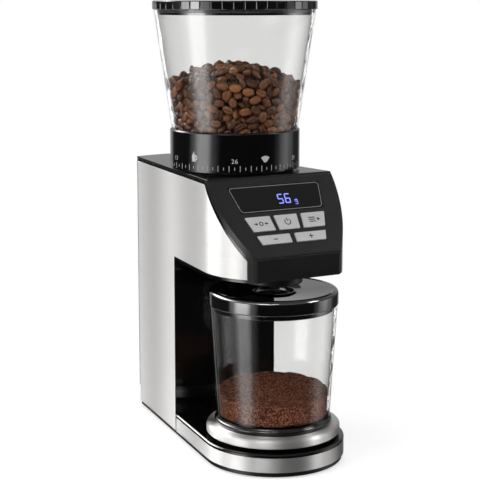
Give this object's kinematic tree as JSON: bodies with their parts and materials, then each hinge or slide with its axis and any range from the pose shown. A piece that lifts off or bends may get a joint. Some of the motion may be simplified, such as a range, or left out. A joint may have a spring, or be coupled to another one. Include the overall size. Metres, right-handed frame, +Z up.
{
  "type": "burr coffee grinder",
  "caption": "Upright electric coffee grinder with a clear bean hopper on a grind scale ring, a sloping key panel and a lidded jar standing on a built-in scale.",
  "frame": {"origin": "centre of the bounding box on the surface that the feet stand on; the burr and hopper axis rises through it", "axes": "+X to the right as seen from the front, +Y to the back, +Z up along the burr axis"},
  "size_m": [0.1444, 0.259, 0.392],
  "materials": {
    "gloss_black": "glossy black moulded plastic",
    "satin_black": "satin black moulded plastic",
    "ring_black": "semi-gloss black plastic",
    "steel_sheet": "brushed stainless steel sheet",
    "steel_cap": "spun brushed steel",
    "clear_hopper": "clear tinted plastic",
    "clear_jar": "clear tinted plastic",
    "window": "dark tinted display window",
    "key_silver": "satin silver painted plastic",
    "rubber": "matt black rubber",
    "silicone": "soft dark silicone",
    "felt": "pressed felt",
    "burr_steel": "hardened ground steel",
    "cast_zinc": "die cast metal",
    "shaft_steel": "bright turned steel",
    "screw_steel": "zinc plated steel",
    "gear_plastic": "natural acetal",
    "sintered": "sintered bronze",
    "inner_black": "glass filled nylon",
    "motor_case": "pressed steel motor case",
    "board_green": "circuit board",
    "switch_body": "switch body",
    "display": "LED module",
    "cell_alu": "machined aluminium",
    "mount_steel": "zinc plated steel sheet"
  },
  "bodies": {
    "grinder_body": {"rubber_feet": "rubber", "base_plate": "satin_black", "base_screws": "screw_steel", "base_shell": "gloss_black", "base_band": "steel_sheet", "housing": "gloss_black", "housing_screws": "screw_steel", "side_panel_left": "steel_sheet", "side_panel_right": "steel_sheet", "rear_cover": "satin_black", "cord_gland": "rubber", "top_deck": "gloss_black", "front_apron": "satin_black", "control_panel": "satin_black", "display_window": "window", "display_module": "display", "control_board": "board_green", "key_switches": "switch_body", "burr_chamber": "inner_black", "outlet_chute": "inner_black", "outlet_spout": "satin_black", "shaft_bearings": "sintered", "idler_pin": "shaft_steel", "gearbox_housing": "inner_black", "gearbox_cover": "inner_black", "gearbox_screws": "screw_steel", "motor": "motor_case", "motor_mount": "mount_steel", "motor_dampers": "rubber", "power_board": "board_green", "load_cell": "cell_alu", "load_cell_screws": "screw_steel", "platform_carrier": "satin_black", "scale_platform": "steel_cap"},
    "grind_ring": {"adjusting_ring": "inner_black"},
    "hopper_unit": {"hopper": "clear_hopper", "hopper_collar": "ring_black"},
    "hopper_cover": {"hopper_lid": "gloss_black", "lid_seal": "silicone"},
    "upper_burr": {"burr_carrier": "cast_zinc", "ring_burr": "burr_steel", "ring_burr_screws": "screw_steel", "carrier_seal": "felt"},
    "lower_burr": {"burr_shaft": "shaft_steel", "cone_burr": "burr_steel", "bean_auger": "burr_steel", "sweeper_disc": "cast_zinc", "main_gear": "gear_plastic"},
    "idler": {"idler_gear": "gear_plastic"},
    "motor_rotor": {"motor_pinion": "sintered", "motor_shaft": "shaft_steel"},
    "coffee_jar": {"jar": "clear_jar", "jar_foot": "gloss_black"},
    "coffee_jar_lid": {"jar_lid": "gloss_black"},
    "tare_button": {"key_tare": "key_silver"},
    "power_button": {"key_power": "key_silver"},
    "select_button": {"key_select": "key_silver"},
    "minus_button": {"key_minus": "key_silver"},
    "plus_button": {"key_plus": "key_silver"}
  },
  "joints": [
    {"name": "grind_turn", "type": "hinge", "parent": "grinder_body", "child": "grind_ring", "pos_m": [0, 0, 0.245], "axis": [0, 0, 1], "range_deg": [-61.75, 118.75]},
    {"name": "hopper_lift", "type": "slide", "parent": "grind_ring", "child": "hopper_unit", "axis": [0, 0, 1], "range_m": [0, 0.06]},
    {"name": "hopper_lid_lift", "type": "slide", "parent": "hopper_unit", "child": "hopper_cover", "axis": [0, 0, 1], "range_m": [0, 0.05]},
    {"name": "upper_burr_lift", "type": "slide", "parent": "grinder_body", "child": "upper_burr", "axis": [0, 0, 1], "range_m": [-0.00155, 0.00081]},
    {"name": "burr_spin", "type": "hinge", "parent": "grinder_body", "child": "lower_burr", "pos_m": [0, 0, 0.2], "axis": [0, 0, 1], "continuous": true},
    {"name": "idler_spin", "type": "hinge", "parent": "grinder_body", "child": "idler", "pos_m": [0, 0.035, 0.175], "axis": [0, 0, 1], "continuous": true},
    {"name": "motor_spin", "type": "hinge", "parent": "grinder_body", "child": "motor_rotor", "pos_m": [0, 0.067, 0.175], "axis": [0, 0, 1], "continuous": true},
    {"name": "jar_pull", "type": "slide", "parent": "grinder_body", "child": "coffee_jar", "axis": [0, -1, 0], "range_m": [0, 0.15]},
    {"name": "jar_lid_lift", "type": "slide", "parent": "coffee_jar", "child": "coffee_jar_lid", "axis": [0, 0, 1], "range_m": [0, 0.0052]},
    {"name": "tare_press", "type": "slide", "parent": "grinder_body", "child": "tare_button", "axis": [0, 0.7777, -0.6286], "range_m": [0, 0.0012], "stiffness_N_per_m": 300, "springref_m": -0.0004},
    {"name": "power_press", "type": "slide", "parent": "grinder_body", "child": "power_button", "axis": [0, 0.7777, -0.6286], "range_m": [0, 0.0012], "stiffness_N_per_m": 300, "springref_m": -0.0004},
    {"name": "select_press", "type": "slide", "parent": "grinder_body", "child": "select_button", "axis": [0, 0.7777, -0.6286], "range_m": [0, 0.0012], "stiffness_N_per_m": 300, "springref_m": -0.0004},
    {"name": "minus_press", "type": "slide", "parent": "grinder_body", "child": "minus_button", "axis": [0, 0.7777, -0.6286], "range_m": [0, 0.0012], "stiffness_N_per_m": 300, "springref_m": -0.0004},
    {"name": "plus_press", "type": "slide", "parent": "grinder_body", "child": "plus_button", "axis": [0, 0.7777, -0.6286], "range_m": [0, 0.0012], "stiffness_N_per_m": 300, "springref_m": -0.0004}
  ],
  "couplings": [
    {"joint": "upper_burr_lift", "follows": "grind_turn", "m_per_rad": -0.00074803},
    {"joint": "idler_spin", "follows": "motor_spin", "ratio": -0.3913},
    {"joint": "burr_spin", "follows": "motor_spin", "ratio": 0.13545}
  ]
}
